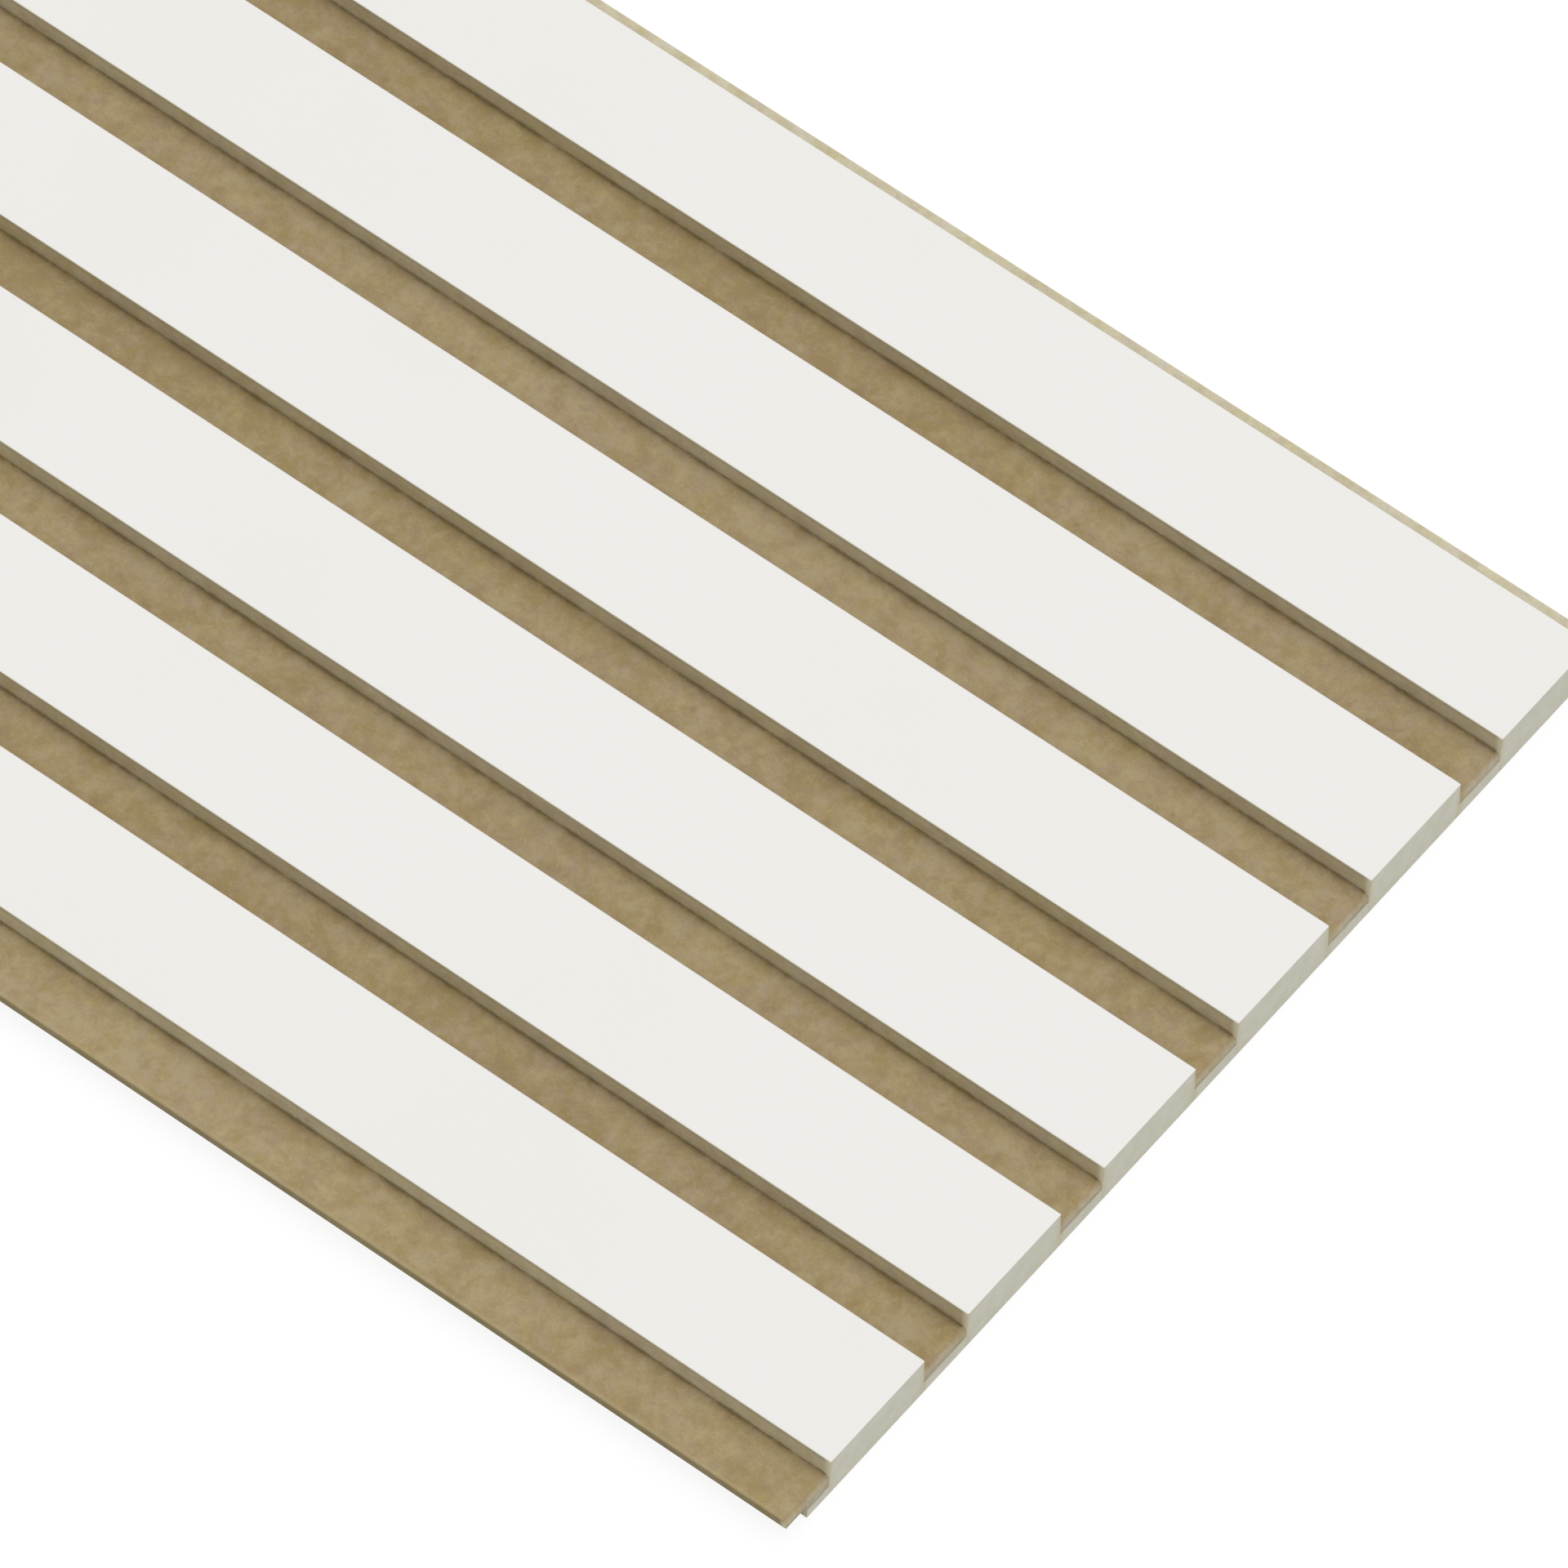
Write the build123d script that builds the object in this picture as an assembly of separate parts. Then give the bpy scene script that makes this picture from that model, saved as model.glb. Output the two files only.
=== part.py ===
from build123d import *
import os

# Slatted acoustic wall panel, milled from one board. Millimetres.
# X runs along the slats, Y across them towards the tongue, Z up from the back face.
# The origin is the centre of the panel's bounding box, on the back face.

# Driving dimensions
length = 2400.0             # stock length of the panel
thickness = 10.5            # back face to the face of the slats
slat_count = 6
slat_width = 27.5
groove_width = 12.5
groove_depth = 4.5
lip_thickness = 2.0         # upper half of the lap joint, level with the groove floors
tongue_width = 6.0          # lower half of the lap joint, which slips under the next panel's lip
lap_side_gap = 0.3          # tongue's nose to the end of the next panel's rebate
lap_face_gap = 0.2          # tongue's upper face to the next panel's lip
slat_arris = 0.4            # rounding of the slats' long upper edges
lap_arris = 0.4             # rounding of the lip's and the tongue's outer upper edges
exit_bevel = 0.9            # bevel on the ends of the groove floors, where the cutter runs out

# Levels above the back face
floor_z = thickness - groove_depth
lip_under_z = floor_z - lip_thickness
tongue_top_z = lip_under_z - lap_face_gap

# Stations across the panel. The lip is as wide as a groove, so a joint between two panels looks like one more.
slat_pitch = slat_width + groove_width
lip_width = groove_width
rebate_width = tongue_width + lap_side_gap
slats_span = slat_count * slat_pitch - groove_width
width = lip_width + slats_span + tongue_width
lip_edge_y = -width / 2
first_slat_y = lip_edge_y + lip_width
last_wall_y = first_slat_y + slats_span
tongue_edge_y = width / 2

# Strips of floor that a cutter leaves in the face: the lip's upper face, then the grooves
floor_starts = [lip_edge_y + i * slat_pitch for i in range(slat_count)]

match_tolerance = 1e-4      # for finding corners by their place


def strip(y_low, y_high, z_low, z_high):
    """Rectangle of the section between two stations and two levels."""
    return Pos((y_low + y_high) / 2, (z_low + z_high) / 2) * Rectangle(y_high - y_low, z_high - z_low)


def round_corners(profile, level, radius, station=None):
    """Round the section's corners at one level, or the one corner at a station on that level."""
    corners = profile.vertices().filter_by_position(Axis.Y, level - match_tolerance, level + match_tolerance)
    if station is not None:
        corners = corners.filter_by_position(Axis.X, station - match_tolerance, station + match_tolerance)
    return fillet(corners, radius)


def section():
    """Cross-section of the board: a plain blank, less what each cutter takes away."""
    profile = strip(lip_edge_y, tongue_edge_y, 0, thickness)
    for start in floor_starts:
        profile -= strip(start, start + groove_width, floor_z, thickness)
    profile -= strip(lip_edge_y, lip_edge_y + rebate_width, 0, lip_under_z)
    profile -= strip(last_wall_y, tongue_edge_y, tongue_top_z, thickness)
    profile = round_corners(profile, thickness, slat_arris)
    profile = round_corners(profile, floor_z, lap_arris, lip_edge_y)
    return round_corners(profile, tongue_top_z, lap_arris, tongue_edge_y)


def exit_bevel_cut(y_low, y_high, end):
    """Wedge that bevels one strip of floor at the panel's end: end is 1 at +X and -1 at -X."""
    end_x = end * length / 2
    corner = (end_x, floor_z)
    on_floor = (end_x - end * exit_bevel, floor_z)
    on_end = (end_x, floor_z - exit_bevel)
    wedge = make_face(Polyline(corner, on_floor, on_end, close=True))
    return extrude(Plane.XZ.offset(-y_high) * wedge, y_high - y_low)


slat_board = extrude(Plane.YZ * section(), length / 2, both=True)
for start in floor_starts:
    for end in (1, -1):
        slat_board -= exit_bevel_cut(start, start + groove_width, end)

os.makedirs("parts", exist_ok=True)
export_step(slat_board, "parts/slat_board.step")
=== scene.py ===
import math
from collections import namedtuple

import bmesh
import bpy
import numpy as np
from mathutils import Matrix, Vector


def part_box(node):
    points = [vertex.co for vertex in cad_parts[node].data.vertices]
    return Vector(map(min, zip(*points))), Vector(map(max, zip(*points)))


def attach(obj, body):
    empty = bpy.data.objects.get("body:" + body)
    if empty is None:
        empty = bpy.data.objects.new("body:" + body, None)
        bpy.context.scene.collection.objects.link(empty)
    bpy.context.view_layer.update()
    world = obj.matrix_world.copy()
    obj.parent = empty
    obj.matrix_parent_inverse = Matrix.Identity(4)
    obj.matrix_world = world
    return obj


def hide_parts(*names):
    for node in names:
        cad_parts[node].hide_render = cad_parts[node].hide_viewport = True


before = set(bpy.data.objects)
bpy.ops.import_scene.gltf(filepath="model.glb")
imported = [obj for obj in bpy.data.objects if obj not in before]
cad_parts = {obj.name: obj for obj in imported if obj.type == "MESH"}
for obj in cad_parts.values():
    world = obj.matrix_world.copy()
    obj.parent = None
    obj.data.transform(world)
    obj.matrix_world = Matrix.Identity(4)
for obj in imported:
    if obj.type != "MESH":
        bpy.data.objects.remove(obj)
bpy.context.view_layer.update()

# Slatted acoustic wall panel: one milled board with white slat faces and raw fibreboard grooves.
# The frame is the CAD frame: X along the slats, Y across them towards the tongue, Z up from the back face.

MM = 0.001
NODE = "slat_board"

# Sizes of the section, in millimetres, as in the part's source
SLAT_COUNT = 6
SLAT_WIDTH = 27.5
GROOVE_WIDTH = 12.5
GROOVE_DEPTH = 4.5
LIP_THICKNESS = 2.0
TONGUE_WIDTH = 6.0
LAP_SIDE_GAP = 0.3
LAP_FACE_GAP = 0.2
SLAT_ARRIS = 0.4
LAP_ARRIS = 0.4
EXIT_BEVEL = 0.9

# Fine relief that the source leaves out, and the mesh's own spacings, in millimetres
BEVEL_WOBBLE = 0.15         # unevenness of the broken edge at the groove ends
END_CORNER = 0.25           # easing of the slats' upright corners
COAT_START = 0.1            # where the white coat starts on a slat's rounded edge, in from the wall
FLOOR_STEP = 0.5            # spacing of the floor's points across a groove
EDGE_SUPPORT = 0.3          # distance of an extra point beside a rounded edge, which keeps the flat even
ARRIS_STEPS = 6             # facets of each rounded edge
SHARP_ANGLE = 30.0          # angle in degrees from which an edge is shaded as sharp
SEED = 11

# Boundaries of the finish, in millimetres
RAW_STRIP = 2.25            # bare strip on the ends, from the groove floor down to the coat
LIP_STRIP = 3.4             # the same at the lip, where the strip reaches lower
STRIP_CHANGE = 80.0         # distance from the lip's edge over which it changes
STRIP_MARGIN = 0.9          # room below the strip for the uneven edge of the coat
STRIP_WAVE = 1.2            # unevenness of that edge
STRIP_SHADE_REACH = 0.3            # height above that edge, and reach, of a dark line of painted shadow along it
BREAK_DEPTH = 0.8           # depth below the floor at which the bevel breaks to the end
FLOOR_TONE_DEPTH = 1.2      # depth below the floor to which its tone fades into the core's
OVERSPRAY = 1.7             # reach of the ends' coat around the corner onto the groove walls
OVERSPRAY_WAVE = 0.6        # unevenness of that reach
COAT_WEAR = 1.8             # reach of the wear on the ends' coat beside the slats' edges
RIM_START, RIM_STOP = 0.5, 1.2  # depths below the slat face between which a wall's dark rim fades out
LIP_HIGHLIGHT_WIDTH = 1.0            # width of the painted highlight along the lip's outer edge
FOOT_RISE = 0.5             # reach of the painted shade line up a groove wall from its foot
FOOT_SPREAD = 0.75          # and out over the floor
FOOT_WAVE = 0.9             # waviness of that line
NO_FOOT = 20.0              # distance given where there is no wall's foot nearby

# Strengths of the finish's patterns, from 0 to 1 unless said otherwise
FOOT_SHADE_STRENGTH = 0.5         # painted shade: a dark line in the corner at the foot of the walls
FOOT_BREAKS = 3.4           # how much that line comes and goes, as a swing of its strength
SPECK_STRENGTH = 0.3
STREAK_SWING = 0.35         # streaks of the routed walls
RIM_DARKNESS = 0.3
# painted highlight along the lip's outer edge
LIP_HIGHLIGHT_STRENGTH = 0.6
OVERSPRAY_STRENGTH = 0.95
WEAR_STRENGTH = 0.9
COAT_SWING = 0.10           # grain of the ends' coat
STRIP_SHADE_STRENGTH = 0.35        # painted shadow: a dark line along the coat's edge at the strip's lower edge
BREAK_SHADE = 0.94          # factor on the colour where the bevel breaks to the end

# Map for baking the finish: the long faces in spans, with the two ends above them. Millimetres on the map
MAP_NAME = "OFBake"
MAP_SPANS = 3               # spans that the board's length is cut into
MAP_GAP = 3.0               # gap between strips of unlike materials and between the ends
LEAST_STRETCH = 4.0         # least length given to the short faces beside the ends
END_SCALE = 3.0             # height of the ends on the map, as a multiple of the real one
PLAIN_SCALE = 0.12          # and of the strips with little pattern
PLAIN_ZONES = ("slat", "back")

# Stations and levels, from the node's box and the sizes above
box_low, box_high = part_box(NODE)
END_X = box_high.x / MM
THICKNESS = box_high.z / MM
LIP_EDGE = box_low.y / MM
TONGUE_EDGE = box_high.y / MM
PITCH = SLAT_WIDTH + GROOVE_WIDTH
FLOOR_Z = THICKNESS - GROOVE_DEPTH
LIP_UNDER_Z = FLOOR_Z - LIP_THICKNESS
TONGUE_TOP_Z = LIP_UNDER_Z - LAP_FACE_GAP
STRIP_Z = FLOOR_Z - RAW_STRIP
LIP_STRIP_Z = FLOOR_Z - LIP_STRIP
STRIP_FOOT_Z = LIP_STRIP_Z - STRIP_MARGIN
SHOULDER_Z = THICKNESS - SLAT_ARRIS
REBATE_WALL = LIP_EDGE + TONGUE_WIDTH + LAP_SIDE_GAP
LAST_WALL = TONGUE_EDGE - TONGUE_WIDTH
FLOOR_STARTS = [LIP_EDGE + i * PITCH for i in range(SLAT_COUNT)]

# Camera, fitted to the slats' edge lines
CAMERA_TARGET = (1.10494, -0.0005, 0.0105)
CAMERA_AZIMUTH = 34.376
CAMERA_ELEVATION = 55.117
CAMERA_ROLL = 3.918
CAMERA_DISTANCE = 3.2585
CAMERA_LENS = 414.58
SENSOR_WIDTH = 36.0

# Light: an even white dome with one broad lamp, which leans in from the tongue's side
DOME_LEVEL = 0.75
LAMP_LEVEL = 0.80
LAMP_SPREAD = 60.0
LAMP_LEAN = (-14.0, 8.0)

# Studio floor: a middle grey to the light it returns to the board, and white with a faint shadow to the eye
STAGE_GREY = 0.5
STAGE_SHADE = 0.14
STAGE_GLOW = 0.88
STAGE_REACH = 80.0
STAGE_LEVEL = -0.0002


# The board's outline
Point = namedtuple("Point", "y z zone from_foot end_y dropped")


def point(y, z, zone, from_foot=NO_FOOT, end_y=None, dropped=False):
    """A corner of the section: its place, the zone of the side that starts here, and its station at the end.

    The distance from the nearest wall's foot is negative on the floor and positive on the wall.
    A dropped corner falls away at the ends.
    """
    return Point(y, z, zone, from_foot, y if end_y is None else end_y, dropped)


def floor_distances():
    """Distances across a groove floor from wall to wall."""
    return np.linspace(0.0, GROOVE_WIDTH, round(GROOVE_WIDTH / FLOOR_STEP) + 1)


def arc(y, z, radius, start, stop):
    """Stations and levels of a rounded edge about a centre, with angles in degrees from the Y axis."""
    angles = np.radians(np.linspace(start, stop, ARRIS_STEPS + 1))
    return [(y + radius * math.cos(angle), z + radius * math.sin(angle)) for angle in angles]


def lip_points():
    """The rebate, the lip and the lip's upper face up to the foot of the first slat."""
    points = [point(REBATE_WALL, 0.0, "rebate", -NO_FOOT),
              point(REBATE_WALL, STRIP_FOOT_Z, "rebate", -NO_FOOT),
              point(REBATE_WALL, LIP_UNDER_Z, "rebate", -NO_FOOT),
              point(LIP_EDGE, LIP_UNDER_Z, "lip_side", -NO_FOOT)]
    for y, z in arc(LIP_EDGE + LAP_ARRIS, FLOOR_Z - LAP_ARRIS, LAP_ARRIS, 180, 90):
        points.append(point(y, z, "floor", -NO_FOOT, dropped=True))
    for distance in floor_distances():
        if distance > LAP_ARRIS + EDGE_SUPPORT:
            from_foot = distance - GROOVE_WIDTH
            points.append(point(LIP_EDGE + distance, FLOOR_Z, "floor", from_foot, dropped=True))
    return points


def groove_points(start):
    """A groove's floor from the foot of one slat to the foot of the next."""
    points = []
    for distance in floor_distances():
        from_foot = -min(distance, GROOVE_WIDTH - distance)
        points.append(point(start + distance, FLOOR_Z, "floor", from_foot, dropped=True))
    return points


def wall_point(y, end_y, with_foot):
    """A point of a slat's wall just below the rounded edge."""
    z = SHOULDER_Z - EDGE_SUPPORT
    return point(y, z, "wall", z - FLOOR_Z if with_foot else NO_FOOT, end_y)


def slat_points(start, last):
    """A slat's two walls and its face, without the points at its feet."""
    stop = start + SLAT_WIDTH
    eased_start, eased_stop = start + END_CORNER, stop - END_CORNER
    points = [wall_point(start, eased_start, True)]
    for y, z in arc(start + SLAT_ARRIS, SHOULDER_Z, SLAT_ARRIS, 180, 90):
        zone = "wall" if y < start + COAT_START else "slat"
        points.append(point(y, z, zone, end_y=max(y, eased_start)))
    points.append(point(start + SLAT_ARRIS + EDGE_SUPPORT, THICKNESS, "slat"))
    points.append(point(stop - SLAT_ARRIS - EDGE_SUPPORT, THICKNESS, "slat"))
    for y, z in arc(stop - SLAT_ARRIS, SHOULDER_Z, SLAT_ARRIS, 90, 0):
        zone = "wall" if y > stop - COAT_START else "slat"
        points.append(point(y, z, zone, end_y=min(y, eased_stop)))
    points.append(wall_point(stop, eased_stop, not last))
    return points


def tongue_points():
    """The foot of the last slat, the tongue and the corner at the back face."""
    points = [point(LAST_WALL, TONGUE_TOP_Z, "tongue"),
              point(TONGUE_EDGE - LAP_ARRIS - EDGE_SUPPORT, TONGUE_TOP_Z, "tongue")]
    for y, z in arc(TONGUE_EDGE - LAP_ARRIS, TONGUE_TOP_Z - LAP_ARRIS, LAP_ARRIS, 90, 0):
        points.append(point(y, z, "tongue"))
    points.append(point(TONGUE_EDGE, 0.0, "back"))
    return points


def trace_outline():
    """The closed outline, clockwise with Y to the right, and the indices of each slat's two feet."""
    points = lip_points()
    feet = []
    for i, floor_start in enumerate(FLOOR_STARTS):
        if i:
            points += groove_points(floor_start)
        points[-1] = points[-1]._replace(zone="wall")
        left = len(points) - 1
        points += slat_points(floor_start + GROOVE_WIDTH, last=i == SLAT_COUNT - 1)
        feet.append((left, len(points)))
    points += tongue_points()
    return points, feet


# The board's mesh
def bevel_sizes(count, rng):
    """Sizes of the broken edge at the points of the outline, uneven along the floors."""
    noise = rng.uniform(-1.0, 1.0, count)
    smooth = (np.roll(noise, 1) + 2 * noise + np.roll(noise, -1)) / 4
    return EXIT_BEVEL + BEVEL_WOBBLE * smooth


def add_ring(bm, points, side, set_backs, falls, at_end=False):
    """A ring of vertices near one end, each set back from the end and lowered by so much."""
    ring = []
    for corner, set_back, fall in zip(points, set_backs, falls):
        y = corner.end_y if at_end else corner.y
        z = min(corner.z, FLOOR_Z - fall) if corner.dropped else corner.z
        ring.append(bm.verts.new((side * (END_X - set_back) * MM, y * MM, z * MM)))
    return ring


def add_end_rings(bm, points, side, rng):
    """Three rings: where the floors fall away, where the corners start to round, and the end itself."""
    bevels = bevel_sizes(len(points), rng)
    level = np.zeros(len(points))
    starts = [bevel if corner.dropped else EXIT_BEVEL for corner, bevel in zip(points, bevels)]
    return [add_ring(bm, points, side, starts, level),
            add_ring(bm, points, side, level + END_CORNER, bevels - END_CORNER),
            add_ring(bm, points, side, level, bevels, at_end=True)]


def add_middle_rings(bm, points):
    """Rings between the spans of the map."""
    level = np.zeros(len(points))
    cuts = np.linspace(2 * END_X, 0.0, MAP_SPANS + 1)[1:-1]
    return [add_ring(bm, points, 1, level + set_back, level) for set_back in cuts]


def add_skin(bm, ring, next_ring, points, zone_slots, changes):
    """Faces between two rings, the second further along X, with some zones changed for others."""
    for i, corner in enumerate(points):
        j = (i + 1) % len(points)
        face = bm.faces.new((ring[i], next_ring[i], next_ring[j], ring[j]))
        face.material_index = zone_slots[changes.get(corner.zone, corner.zone)]


def add_cap(bm, ring, feet, side, zone_slots):
    """An end: slat ends, bare strips below the floors, and the coated rest with the last slat."""
    x = ring[0].co.x
    under = []
    for left, right in feet[:-1]:
        under.append([bm.verts.new((x, ring[i].co.y, STRIP_FOOT_Z * MM)) for i in (left, right)])
    under.append([bm.verts.new((x, ring[feet[-1][0]].co.y, STRIP_FOOT_Z * MM))])
    loops = [(ring[1:feet[0][0] + 1] + under[0][:1], "strip")]
    for i, (left, right) in enumerate(feet[:-1]):
        next_left = feet[i + 1][0]
        loops.append((under[i][:1] + ring[left:right + 1] + under[i][1:], "coated_end"))
        loops.append((under[i][1:] + ring[right:next_left + 1] + under[i + 1][:1], "strip"))
    level = [vert for pair in under for vert in pair]
    loops.append((ring[:2] + level + ring[feet[-1][0]:], "coated_end"))
    for loop, zone in loops:
        face = bm.faces.new(loop if side < 0 else loop[::-1])
        face.material_index = zone_slots[zone]


def strip_bounds(points, zone_slots):
    """Bottom and top of each side of the outline in a span of the map, with like sides together."""
    bounds = np.zeros((len(points), 2))
    top = 0.0
    last_slot = None
    for i in sorted(range(len(points)), key=lambda i: zone_slots[points[i].zone]):
        corner, after = points[i], points[(i + 1) % len(points)]
        slot = zone_slots[corner.zone]
        bottom = top if slot == last_slot else top + MAP_GAP
        scale = PLAIN_SCALE if corner.zone in PLAIN_ZONES else 1.0
        top = bottom + scale * math.hypot(after.y - corner.y, after.z - corner.z)
        bounds[i] = bottom, top
        last_slot = slot
    return bounds


def stretch_bounds(stations):
    """Span of each stretch between two rings, and its start and stop within the span."""
    lengths = np.maximum(np.diff(stations), LEAST_STRETCH)
    middles = (stations[1:] + stations[:-1]) / 2
    spans = np.floor((middles / END_X + 1) / 2 * MAP_SPANS)
    stops = np.cumsum(lengths)
    starts = stops - lengths
    offsets = starts[np.searchsorted(spans, spans)]
    return spans, starts - offsets, stops - offsets


def skin_places(points, zone_slots, stations):
    """Places on the map of the corners of all faces between rings, in the order that they were made in."""
    strips = strip_bounds(points, zone_slots)
    spans, starts, stops = stretch_bounds(stations)
    along = np.stack((starts, stops, stops, starts), axis=-1)[:, None, :]
    up = spans[:, None, None] * strips.max() + strips[:, [0, 0, 1, 1]]
    return np.stack(np.broadcast_arrays(along, up), axis=-1).reshape(-1, 2)


def end_places(corners, skin_size):
    """Places on the map of the corners of the ends' faces, above the spans and as wide as they are."""
    x, y, z = corners.T
    along = (y - LIP_EDGE) / (TONGUE_EDGE - LIP_EDGE) * skin_size[0]
    up = skin_size[1] + MAP_GAP + END_SCALE * z + np.where(x > 0, END_SCALE * THICKNESS + MAP_GAP, 0.0)
    return np.stack((along, up), axis=-1)


def add_map(mesh, points, zone_slots, stations):
    """Lays all faces out on the map."""
    skin = skin_places(points, zone_slots, stations)
    ends = [mesh.vertices[loop.vertex_index].co / MM for loop in mesh.loops[len(skin):]]
    places = np.concatenate((skin, end_places(np.array(ends), skin.max(axis=0))))
    places /= places.max(axis=0)
    mesh.uv_layers.new(name=MAP_NAME).uv.foreach_set("vector", places.astype(np.float32).ravel())


def build_board(zone_slots):
    """One closed mesh, with each zone of the surface in its material slot."""
    points, feet = trace_outline()
    rng = np.random.default_rng(SEED)
    bm = bmesh.new()
    from_foot = bm.verts.layers.float.new("from_foot")
    far = add_end_rings(bm, points, -1, rng)[::-1]
    near = add_end_rings(bm, points, 1, rng)
    corner_zones = {"floor": "bevel", "wall": "corner"}
    run_out_zones = {"floor": "bevel"}
    segments = [corner_zones, run_out_zones] + [{}] * MAP_SPANS + [run_out_zones, corner_zones]
    rings = far + add_middle_rings(bm, points) + near
    stations = np.array([ring[0].co.x / MM for ring in rings])
    for ring in rings:
        for vert, corner in zip(ring, points):
            vert[from_foot] = corner.from_foot
    for ring, next_ring, changes in zip(rings, rings[1:], segments):
        add_skin(bm, ring, next_ring, points, zone_slots, changes)
    add_cap(bm, rings[0], feet, -1, zone_slots)
    add_cap(bm, rings[-1], feet, 1, zone_slots)
    mesh = bpy.data.meshes.new("milled_board")
    bm.to_mesh(mesh)
    bm.free()
    add_map(mesh, points, zone_slots, stations)
    mesh.shade_smooth()
    mesh.set_sharp_from_angle(angle=math.radians(SHARP_ANGLE))
    board = bpy.data.objects.new("milled_board", mesh)
    bpy.context.scene.collection.objects.link(board)
    return board


# Materials. Tones are linear colours
FLOOR_TONE = (0.380, 0.290, 0.154)
WALL_TONE = (0.507, 0.437, 0.278)
# The lip's side: a darker tone as painted shade, for the shade that falls on it
SHADED_LIP_SIDE_TONE = (0.312, 0.248, 0.128)
# Painted highlight on the lip's rounded outer edge
LIP_HIGHLIGHT_TONE = (0.460, 0.370, 0.205)
CORE_TONE = (0.520, 0.453, 0.314)
TONGUE_TONE = (0.61, 0.55, 0.38)
# Painted shade: the dark lines in the corners at the walls' feet and along the coat's edge on the ends
PAINTED_SHADE_TONE = (0.085, 0.054, 0.006)
WORN_COAT = (0.705, 0.655, 0.480)
COAT_TONES = ((0.765, 0.750, 0.632), (0.728, 0.708, 0.580))
LACQUER_TONES = ((0.853, 0.837, 0.805), (0.845, 0.829, 0.796))

# Factors on a tone
DARK_SHADE, PALE_SHADE = (0.89, 0.865, 0.775), (1.115, 1.15, 1.285)
COOL_HUE, WARM_HUE = (0.92, 0.89, 1.115), (1.08, 1.11, 0.885)
SPECK = (0.60, 0.52, 0.45)
RIM_TINT = (0.45, 0.50, 0.50)

# Patterns, in millimetres along, across and through their grain
DRIFT_SIZE = (250.0, 28.0, 28.0)
DRIFT_VARIANT = 74.0
FIBRE_SIZE = (1.6, 0.45, 0.6)
FIBRE_TURNS = (20.0, 65.0, 110.0, 155.0)
STREAK_SIZE = (33.0, 0.8, 0.4)


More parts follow.
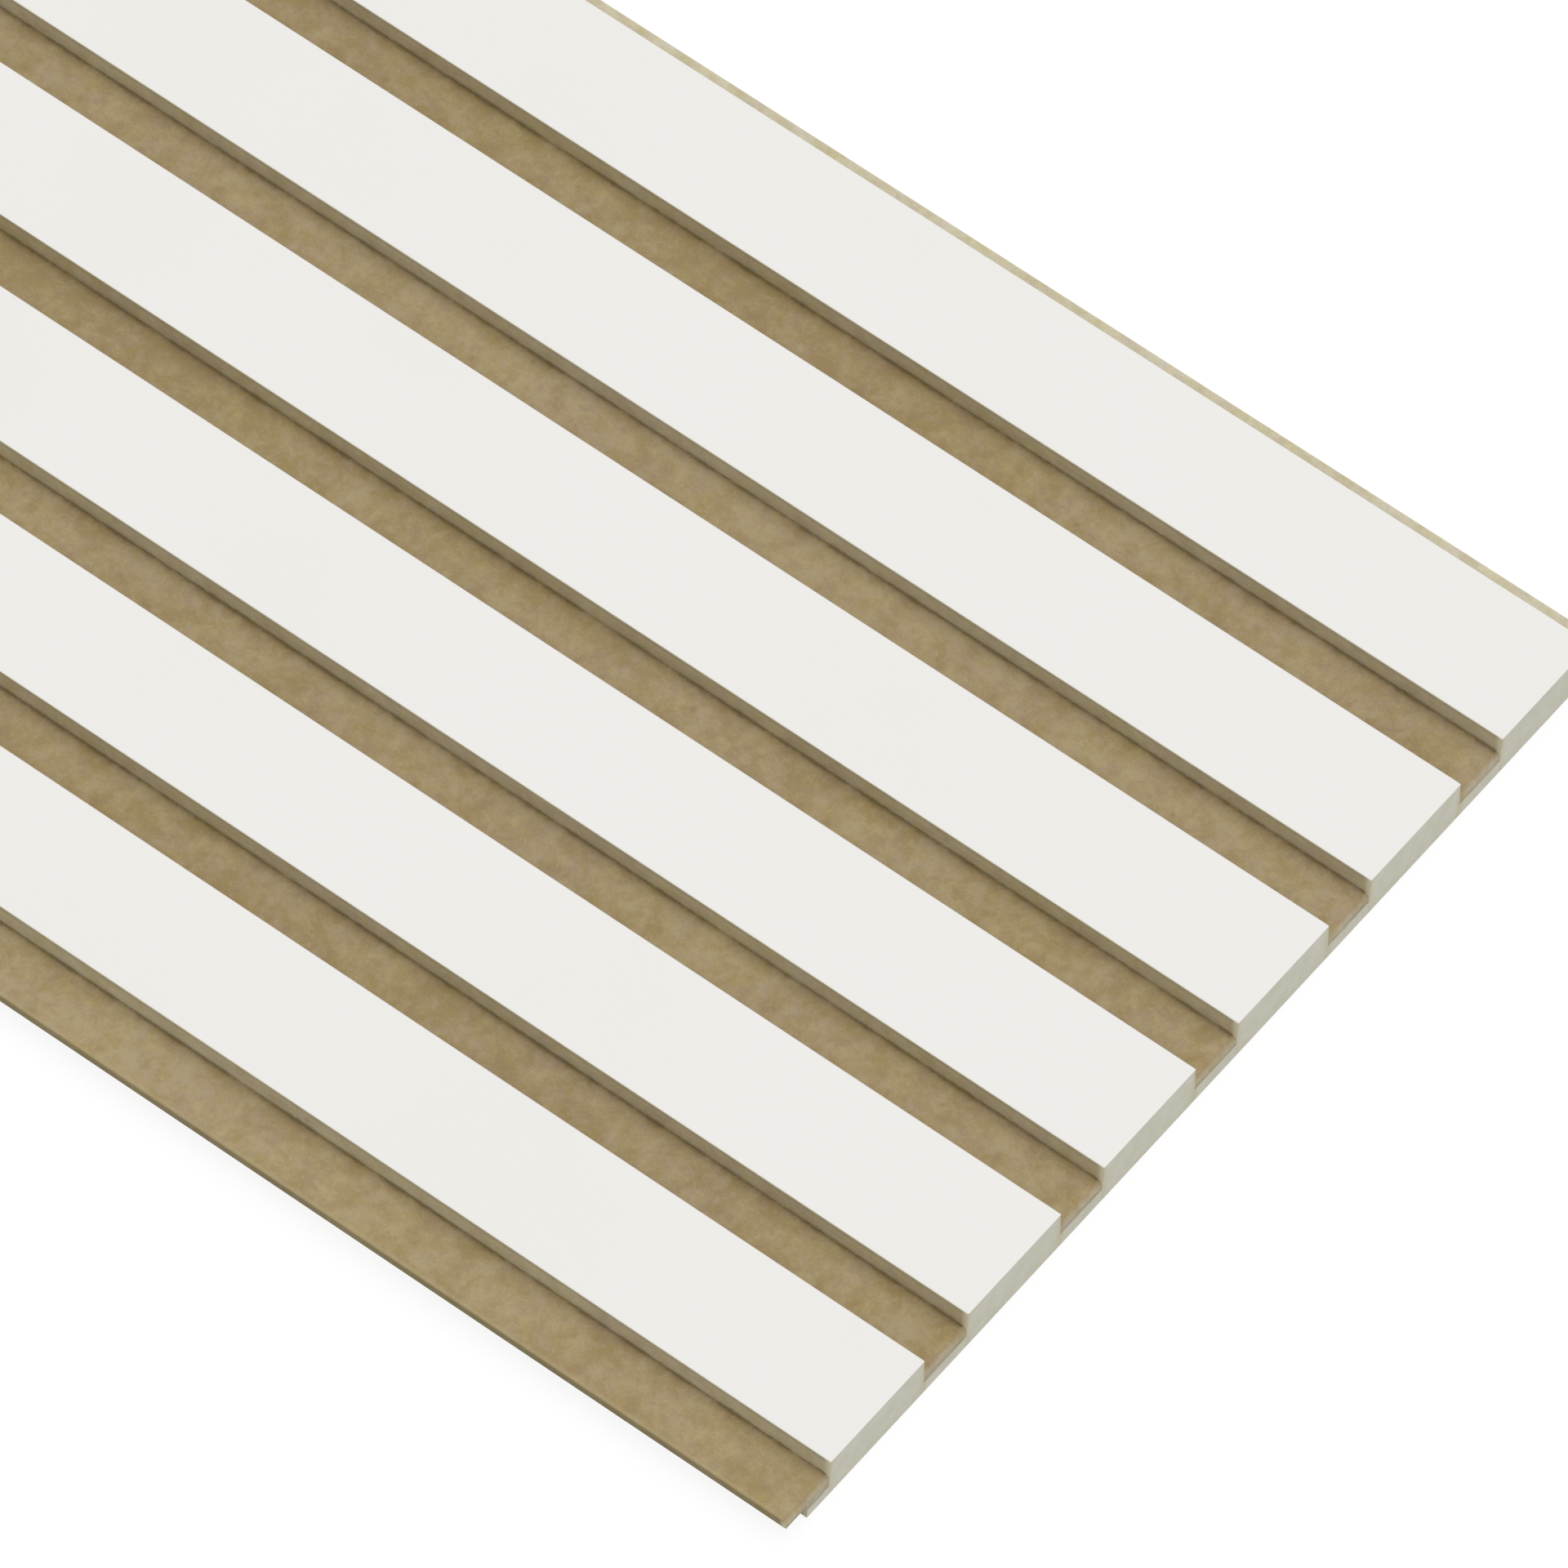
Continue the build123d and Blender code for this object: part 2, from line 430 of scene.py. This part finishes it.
class Shader:
    """A material's nodes around one Principled shader, with positions in millimetres."""

    def __init__(self, name):
        self.material = bpy.data.materials.new(name)
        self.material.use_nodes = True
        self.tree = self.material.node_tree
        self.shader = self.tree.nodes["Principled BSDF"]
        scaled = self.node("ShaderNodeVectorMath", operation="SCALE")
        self.tree.links.new(self.node("ShaderNodeTexCoord").outputs["Object"], scaled.inputs[0])
        scaled.inputs["Scale"].default_value = 1 / MM
        self.place = scaled.outputs[0]

    def node(self, kind, **settings):
        """A new node with some of its settings."""
        made = self.tree.nodes.new(kind)
        for key, value in settings.items():
            setattr(made, key, value)
        return made

    def feed(self, socket, value):
        """Links an output to a socket, or sets the socket's own value."""
        if isinstance(value, bpy.types.NodeSocket):
            self.tree.links.new(value, socket)
        else:
            socket.default_value = value

    def along(self, axis):
        """Position along one axis, in millimetres."""
        parts = self.node("ShaderNodeSeparateXYZ")
        self.feed(parts.inputs[0], self.place)
        return parts.outputs[axis]

    def attribute(self, name):
        """A number that the mesh holds at its vertices."""
        return self.node("ShaderNodeAttribute", attribute_name=name).outputs["Fac"]

    def stretched(self, lengths, turn=0.0):
        """Positions in a frame turned about Z, counted in so many millimetres along its X, Y and Z."""
        mapping = self.node("ShaderNodeMapping", vector_type="TEXTURE")
        self.feed(mapping.inputs["Vector"], self.place)
        mapping.inputs["Scale"].default_value = lengths
        mapping.inputs["Rotation"].default_value = (0.0, 0.0, math.radians(turn))
        return mapping.outputs[0]

    def noise(self, size, detail=2.0, roughness=0.5, distortion=0.0, place=None, variant=0.0):
        """Noise from 0 to 1 with features about so many millimetres wide, in any of many variants."""
        made = self.node("ShaderNodeTexNoise", noise_dimensions="4D")
        self.feed(made.inputs["Vector"], place or self.place)
        made.inputs["W"].default_value = variant
        made.inputs["Scale"].default_value = 1.0 / size
        made.inputs["Detail"].default_value = detail
        made.inputs["Roughness"].default_value = roughness
        made.inputs["Distortion"].default_value = distortion
        return made.outputs["Fac"]

    def specks(self, spacing, radius, share):
        """1 inside small round specks with soft edges, of which only a share of the cells has one."""
        cells = self.node("ShaderNodeTexVoronoi")
        self.feed(cells.inputs["Vector"], self.place)
        cells.inputs["Scale"].default_value = 1.0 / spacing
        edge = radius / spacing
        spot = self.ranged(cells.outputs["Distance"], 0.6 * edge, edge, 1.0, 0.0)
        chance = self.node("ShaderNodeSeparateColor")
        self.feed(chance.inputs[0], cells.outputs["Color"])
        return self.calc("MULTIPLY", spot, self.calc("LESS_THAN", chance.outputs[0], share))

    def ranged(self, value, low, high, to_low=0.0, to_high=1.0):
        """Maps a value from one range to another, smoothly and clamped."""
        made = self.node("ShaderNodeMapRange", interpolation_type="SMOOTHSTEP")
        self.feed(made.inputs["Value"], value)
        made.inputs["From Min"].default_value = low
        made.inputs["From Max"].default_value = high
        made.inputs["To Min"].default_value = to_low
        made.inputs["To Max"].default_value = to_high
        return made.outputs[0]

    def calc(self, operation, first, second=0.0):
        """One step of arithmetic on outputs or plain numbers."""
        made = self.node("ShaderNodeMath", operation=operation)
        self.feed(made.inputs[0], first)
        self.feed(made.inputs[1], second)
        return made.outputs[0]

    def apart(self, first, second):
        """How far apart two values are."""
        return self.calc("ABSOLUTE", self.calc("SUBTRACT", first, second))

    def uneven(self, value, noise, amount):
        """A value that a noise shifts up and down by up to half the amount."""
        return self.calc("ADD", value, self.calc("MULTIPLY", self.calc("SUBTRACT", noise, 0.5), amount))

    def swing(self, noise, amount):
        """A factor about 1 that a noise swings up and down by up to half the amount."""
        return self.uneven(1.0, noise, amount)

    def mix(self, factor, first, second, blend="MIX"):
        """Mixes two colours, each an output or a plain (r, g, b). The node has them on sockets 6 and 7."""
        made = self.node("ShaderNodeMix", data_type="RGBA", blend_type=blend)
        self.feed(made.inputs[0], factor)
        for socket, value in ((made.inputs[6], first), (made.inputs[7], second)):
            self.feed(socket, value if isinstance(value, bpy.types.NodeSocket) else (*value, 1.0))
        return made.outputs[2]

    def scale_color(self, color, factor):
        """A colour times a factor, which is an output or a plain (r, g, b)."""
        return self.mix(1.0, color, factor, "MULTIPLY")

    def bump(self, height, depth):
        """Relief from a height of 0 to 1 over a depth in millimetres."""
        made = self.node("ShaderNodeBump")
        made.inputs["Strength"].default_value = 1.0
        made.inputs["Distance"].default_value = depth * MM
        self.feed(made.inputs["Height"], height)
        self.feed(self.shader.inputs["Normal"], made.outputs[0])

    def done(self, color, roughness, specular):
        """The material with its colour and gloss."""
        self.feed(self.shader.inputs["Base Color"], color)
        self.feed(self.shader.inputs["Roughness"], roughness)
        self.shader.inputs["Specular IOR Level"].default_value = specular
        return self.material


def tinted(tone, tint):
    """A tone times a tint."""
    return tuple(part * factor for part, factor in zip(tone, tint))


def fibres(shader):
    """Short pale fibres that lie every way in the face of the board."""
    total = None
    for turn in FIBRE_TURNS:
        fibre = shader.noise(1.0, detail=1.0, distortion=0.3, place=shader.stretched(FIBRE_SIZE, turn))
        total = fibre if total is None else shader.calc("MAXIMUM", total, fibre)
    return shader.ranged(total, 0.5, 0.8, to_low=0.2)


def mottling(shader, contrast):
    """Factors of raw fibreboard's mottling: how dark or pale it is, and how cool or warm."""
    drift = shader.noise(1.0, detail=0.0, place=shader.stretched(DRIFT_SIZE), variant=DRIFT_VARIANT)
    clouds = shader.noise(32.0, detail=1.0, variant=DRIFT_VARIANT)
    blotches = shader.noise(5.0, detail=1.0, distortion=0.3)
    grains = shader.noise(2.2, detail=3.0, roughness=0.6, distortion=0.5)
    shade = 0.5
    strengths = ((drift, 1.2), (clouds, 0.5), (blotches, 1.7), (grains, 1.9), (fibres(shader), 0.7))
    for pattern, strength in strengths:
        shade = shader.uneven(shade, pattern, strength * contrast)
    hue = shader.noise(1.6, detail=3.0, roughness=0.55, distortion=0.5)
    for pattern, strength in ((shader.noise(4.5), 0.65), (shader.noise(30.0), 0.4)):
        hue = shader.uneven(hue, pattern, strength)
    return shader.scale_color(shader.mix(shade, DARK_SHADE, PALE_SHADE), shader.mix(hue, COOL_HUE, WARM_HUE))


def fibreboard(shader, tone, contrast):
    """Colour of raw fibreboard about one tone, with a few faint dark specks."""
    color = shader.scale_color(tone, mottling(shader, contrast))
    specks = shader.calc("MULTIPLY", shader.specks(spacing=9.0, radius=0.8, share=0.3), SPECK_STRENGTH)
    return shader.mix(specks, color, shader.scale_color(color, SPECK))


def painted_foot_shade(shader, color, reach):
    """Painted shade: a dark, slightly wavy and broken line in the corner where a groove wall meets the
    floor, fading over a reach.
    """
    wave = shader.noise(1.5, detail=3.0, roughness=0.6)
    distance = shader.calc("ABSOLUTE", shader.uneven(shader.attribute("from_foot"), wave, FOOT_WAVE))
    faded = shader.calc("EXPONENT", shader.calc("DIVIDE", distance, -reach))
    breaks = shader.swing(shader.noise(7.0, detail=5.0, roughness=0.7), FOOT_BREAKS)
    line = shader.ranged(shader.calc("MULTIPLY", faded, breaks), 0.1, 1.0, to_high=FOOT_SHADE_STRENGTH)
    return shader.mix(line, color, PAINTED_SHADE_TONE)


def raw_floor():
    """Sanded floor of the grooves and of the lip, with a painted highlight along the lip's outer edge and
    painted shade at the walls' feet.
    """
    shader = Shader("groove_floor")
    # Painted shade in the corner where the walls meet the floor
    color = painted_foot_shade(shader, fibreboard(shader, FLOOR_TONE, contrast=1.0), FOOT_SPREAD)
    # Painted highlight: the lip's outer edge made paler
    lip_highlight_mask = shader.ranged(shader.along("Y"), LIP_EDGE, LIP_EDGE + LIP_HIGHLIGHT_WIDTH, LIP_HIGHLIGHT_STRENGTH, 0.0)
    color = shader.mix(lip_highlight_mask, color, LIP_HIGHLIGHT_TONE)
    shader.bump(shader.noise(0.6, detail=3.0, roughness=0.6), depth=0.05)
    return shader.done(color, roughness=0.92, specular=0.2)


def raw_wall(name, tone):
    """Routed sides: fine streaks, a darker rim below the coated face, painted shade at the foot, and
    overspray at the ends.
    """
    shader = Shader(name)
    streaks = shader.noise(1.0, detail=3.0, roughness=0.6, place=shader.stretched(STREAK_SIZE))
    color = shader.scale_color(fibreboard(shader, tone, contrast=0.6), shader.swing(streaks, STREAK_SWING))
    rim = shader.ranged(shader.along("Z"), THICKNESS - RIM_STOP, THICKNESS - RIM_START, to_high=RIM_DARKNESS)
    color = shader.mix(rim, color, tinted(tone, RIM_TINT))
    # Painted shade at the wall's foot, in the corner with the floor
    color = painted_foot_shade(shader, color, FOOT_RISE)
    from_end = shader.calc("SUBTRACT", END_X, shader.calc("ABSOLUTE", shader.along("X")))
    from_end = shader.uneven(from_end, shader.noise(1.5, detail=3.0), OVERSPRAY_WAVE)
    overspray = shader.ranged(from_end, END_CORNER, OVERSPRAY, OVERSPRAY_STRENGTH, 0.0)
    color = shader.mix(overspray, color, WORN_COAT)
    shader.bump(streaks, depth=0.04)
    return shader.done(color, roughness=0.9, specular=0.2)


def raw_cut(name, tone):
    """Bare cut faces of the board's core."""
    shader = Shader(name)
    color = fibreboard(shader, tone, contrast=0.7)
    shader.bump(shader.noise(0.7, detail=3.0, roughness=0.6), depth=0.05)
    return shader.done(color, roughness=0.92, specular=0.2)


def white_lacquer():
    """Satin white coat on the slat faces, with a faint orange peel."""
    shader = Shader("white_lacquer")
    color = shader.mix(shader.ranged(shader.noise(60.0, detail=3.0), 0.3, 0.7), *LACQUER_TONES)
    shader.bump(shader.noise(1.4), depth=0.005)
    gloss = shader.ranged(shader.noise(9.0, detail=3.0), 0.3, 0.7, 0.42, 0.50)
    return shader.done(color, roughness=gloss, specular=0.3)


def from_slat_edge(shader):
    """Distance to the nearest line of a slat's upright edges, in millimetres."""
    station = shader.calc("SUBTRACT", shader.along("Y"), FLOOR_STARTS[0] + GROOVE_WIDTH)
    off_middle = shader.apart(shader.calc("FLOORED_MODULO", station, PITCH), SLAT_WIDTH / 2)
    return shader.apart(off_middle, SLAT_WIDTH / 2)


def coat_color(shader):
    """Thin pale coat on the sawn ends: a little cloudy, and worn beside the slats' edges."""
    cloud = shader.noise(3.5, detail=3.0, roughness=0.55, distortion=0.3)
    color = shader.mix(shader.ranged(cloud, 0.35, 0.65), *COAT_TONES)
    color = shader.scale_color(color, shader.swing(shader.noise(0.8), COAT_SWING))
    worn = shader.ranged(from_slat_edge(shader), 0.0, COAT_WEAR, WEAR_STRENGTH, 0.0)
    return shader.mix(worn, color, WORN_COAT)


def end_coat():
    """The coated ends."""
    shader = Shader("end_coat")
    shader.bump(shader.noise(0.8), depth=0.03)
    return shader.done(coat_color(shader), roughness=0.68, specular=0.25)


def run_out():
    """Broken edge at the groove ends and the bare strip below it, down to the uneven edge of the coat, with
    a painted shadow line along that edge.
    """
    shader = Shader("run_out")
    level = shader.uneven(shader.along("Z"), shader.noise(2.2, detail=3.0), STRIP_WAVE)
    tone = shader.mix(shader.ranged(level, FLOOR_Z - FLOOR_TONE_DEPTH, FLOOR_Z), CORE_TONE, FLOOR_TONE)
    color = fibreboard(shader, tone, contrast=0.8)
    off_break = shader.apart(shader.along("Z"), FLOOR_Z - BREAK_DEPTH)
    color = shader.scale_color(color, shader.ranged(off_break, 0.1, 0.35, to_low=BREAK_SHADE))
    strip_edge = shader.ranged(shader.along("Y"), LIP_EDGE, LIP_EDGE + STRIP_CHANGE, LIP_STRIP_Z, STRIP_Z)
    above_edge = shader.calc("SUBTRACT", level, strip_edge)
    # Painted shadow: a dark line just above the coat's edge
    line = shader.ranged(shader.apart(above_edge, STRIP_SHADE_REACH), 0.0, STRIP_SHADE_REACH, STRIP_SHADE_STRENGTH, 0.0)
    line = shader.calc("MULTIPLY", line, shader.ranged(shader.noise(9.0), 0.4, 0.6))
    color = shader.mix(line, color, PAINTED_SHADE_TONE)
    color = shader.mix(shader.ranged(above_edge, -0.4, 0.2), coat_color(shader), color)
    shader.bump(shader.noise(0.7, detail=3.0, roughness=0.6), depth=0.06)
    return shader.done(color, roughness=0.9, specular=0.2)


def make_materials():
    """Material of each zone of the surface."""
    routed = raw_wall("routed_wall", WALL_TONE)
    coated = end_coat()
    broken = run_out()
    return {
        "slat": white_lacquer(),
        "floor": raw_floor(),
        "wall": routed,
        "rebate": routed,
        "bevel": broken,
        "strip": broken,
        # The lip's side: routed fibreboard in a darker tone, as painted shade
        "lip_side": raw_wall("lip_side", SHADED_LIP_SIDE_TONE),
        "tongue": raw_cut("tongue", TONGUE_TONE),
        "corner": coated,
        "back": raw_cut("bare_back", CORE_TONE),
        "coated_end": coated,
    }


def dress(zone_materials):
    """The board with its materials, each in one slot."""
    slots = list(dict.fromkeys(zone_materials.values()))
    zone_slots = {zone: slots.index(material) for zone, material in zone_materials.items()}
    board = build_board(zone_slots)
    for material in slots:
        board.data.materials.append(material)
    return board


# Floor, light and camera
def eye_rays(tree):
    """1 for rays from the camera and for mirror and glass rays, else 0."""
    path = tree.nodes.new("ShaderNodeLightPath")
    total = path.outputs["Is Camera Ray"]
    for name in ("Is Glossy Ray", "Is Transmission Ray"):
        either = tree.nodes.new("ShaderNodeMath")
        either.operation = "MAXIMUM"
        tree.links.new(total, either.inputs[0])
        tree.links.new(path.outputs[name], either.inputs[1])
        total = either.outputs[0]
    return total


def diffuse(tree, grey):
    """A matt grey shader."""
    made = tree.nodes.new("ShaderNodeBsdfDiffuse")
    made.inputs["Color"].default_value = (grey, grey, grey, 1.0)
    return made.outputs[0]


def floor_material():
    """Pale matt floor, seen as white with a faint shadow."""
    material = bpy.data.materials.new("studio_floor")
    material.use_nodes = True
    tree = material.node_tree
    tree.nodes.clear()
    glow = tree.nodes.new("ShaderNodeEmission")
    glow.inputs["Strength"].default_value = STAGE_GLOW
    seen = tree.nodes.new("ShaderNodeAddShader")
    tree.links.new(diffuse(tree, STAGE_SHADE), seen.inputs[0])
    tree.links.new(glow.outputs[0], seen.inputs[1])
    pick = tree.nodes.new("ShaderNodeMixShader")
    tree.links.new(eye_rays(tree), pick.inputs[0])
    tree.links.new(diffuse(tree, STAGE_GREY), pick.inputs[1])
    tree.links.new(seen.outputs[0], pick.inputs[2])
    output = tree.nodes.new("ShaderNodeOutputMaterial")
    tree.links.new(pick.outputs[0], output.inputs["Surface"])
    return material


def add_floor():
    """One large plane just under the board."""
    signs = ((-1, -1), (1, -1), (1, 1), (-1, 1))
    corners = [(x * STAGE_REACH, y * STAGE_REACH, STAGE_LEVEL) for x, y in signs]
    mesh = bpy.data.meshes.new("studio_floor")
    mesh.from_pydata(corners, [], [(0, 1, 2, 3)])
    mesh.materials.append(floor_material())
    floor = bpy.data.objects.new("studio_floor", mesh)
    bpy.context.scene.collection.objects.link(floor)


def add_dome():
    """Even white surroundings, seen as plain white."""
    world = bpy.data.worlds.new("studio")
    bpy.context.scene.world = world
    world.use_nodes = True
    tree = world.node_tree
    background = tree.nodes["Background"]
    level = tree.nodes.new("ShaderNodeMapRange")
    tree.links.new(eye_rays(tree), level.inputs["Value"])
    level.inputs["To Min"].default_value = DOME_LEVEL
    level.inputs["To Max"].default_value = 1.0
    background.inputs["Color"].default_value = (1.0, 1.0, 1.0, 1.0)
    tree.links.new(level.outputs[0], background.inputs["Strength"])


def add_lamp():
    """One broad overhead lamp."""
    data = bpy.data.lights.new("overhead", "SUN")
    data.energy = LAMP_LEVEL
    data.angle = math.radians(LAMP_SPREAD)
    lamp = bpy.data.objects.new("overhead", data)
    lamp.rotation_euler = (math.radians(LAMP_LEAN[0]), math.radians(LAMP_LEAN[1]), 0.0)
    bpy.context.scene.collection.objects.link(lamp)


def add_camera():
    """Long lens that looks down on the board's end."""
    azimuth, elevation = math.radians(CAMERA_AZIMUTH), math.radians(CAMERA_ELEVATION)
    flat = math.cos(elevation)
    back = Vector((math.sin(azimuth) * flat, -math.cos(azimuth) * flat, math.sin(elevation)))
    right = Vector((0.0, 0.0, 1.0)).cross(back).normalized()
    turn = Matrix.Rotation(math.radians(CAMERA_ROLL), 3, back)
    axes = Matrix((turn @ right, turn @ back.cross(right), back)).transposed()
    data = bpy.data.cameras.new("photo_view")
    data.lens = CAMERA_LENS
    data.sensor_width = SENSOR_WIDTH
    camera = bpy.data.objects.new("photo_view", data)
    camera.matrix_world = Matrix.Translation(Vector(CAMERA_TARGET) + back * CAMERA_DISTANCE) @ axes.to_4x4()
    bpy.context.scene.collection.objects.link(camera)
    bpy.context.scene.camera = camera


board = dress(make_materials())
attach(board, "root")
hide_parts(NODE)

add_floor()
add_dome()
add_lamp()
add_camera()
bpy.context.scene.view_settings.view_transform = "Standard"
